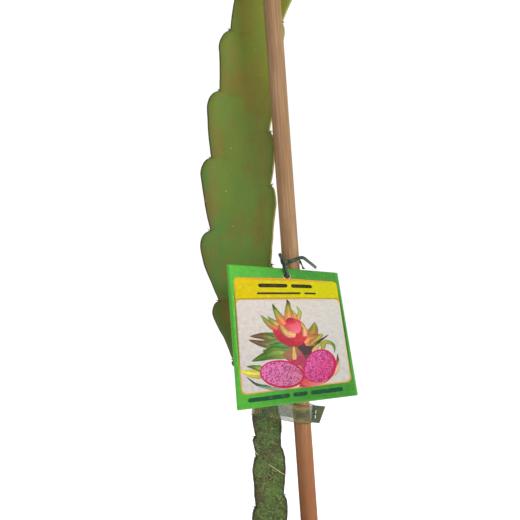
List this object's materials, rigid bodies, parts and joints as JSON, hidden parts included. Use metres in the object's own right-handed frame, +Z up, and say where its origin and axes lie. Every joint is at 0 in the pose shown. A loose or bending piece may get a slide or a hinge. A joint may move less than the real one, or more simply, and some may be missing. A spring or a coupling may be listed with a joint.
{
  "type": "potted dragon fruit plant",
  "caption": "Young climbing cactus in a nursery pot: old stem, long scalloped three-ribbed shoot, wooden stake, tape ties and a hanging card.",
  "frame": {"origin": "centre of the pot's flat underside", "axes": "+Z up along the plant, +Y away from the viewer of the card, +X to that viewer's right"},
  "size_m": [0.17, 0.17, 0.7167],
  "materials": {
    "pot": "black polypropylene, satin, finely textured",
    "potting_mix": "dark damp peat with white perlite and bark chips",
    "old_stem": "dull green skin with brown cork and pale fibres",
    "young_stem": "waxy green skin with bronze flushes and brown horny margins",
    "stake": "turned reddish hardwood, fine straight grain, unfinished",
    "label_card": "printed and laminated card, green border, satin gloss",
    "label_tie": "dark green soft plastic over a thin wire",
    "tape": "thin translucent grey-green film",
    "staple": "bright galvanised staple wire"
  },
  "bodies": {
    "root": {"pot": "pot", "potting_mix": "potting_mix", "old_stem": "old_stem", "young_stem": "young_stem", "stake": "stake", "label_card": "label_card", "label_tie": "label_tie", "tape_tie": "tape", "tape_staple": "staple", "upper_tape_tie": "tape", "upper_tape_staple": "staple"}
  },
  "joints": []
}
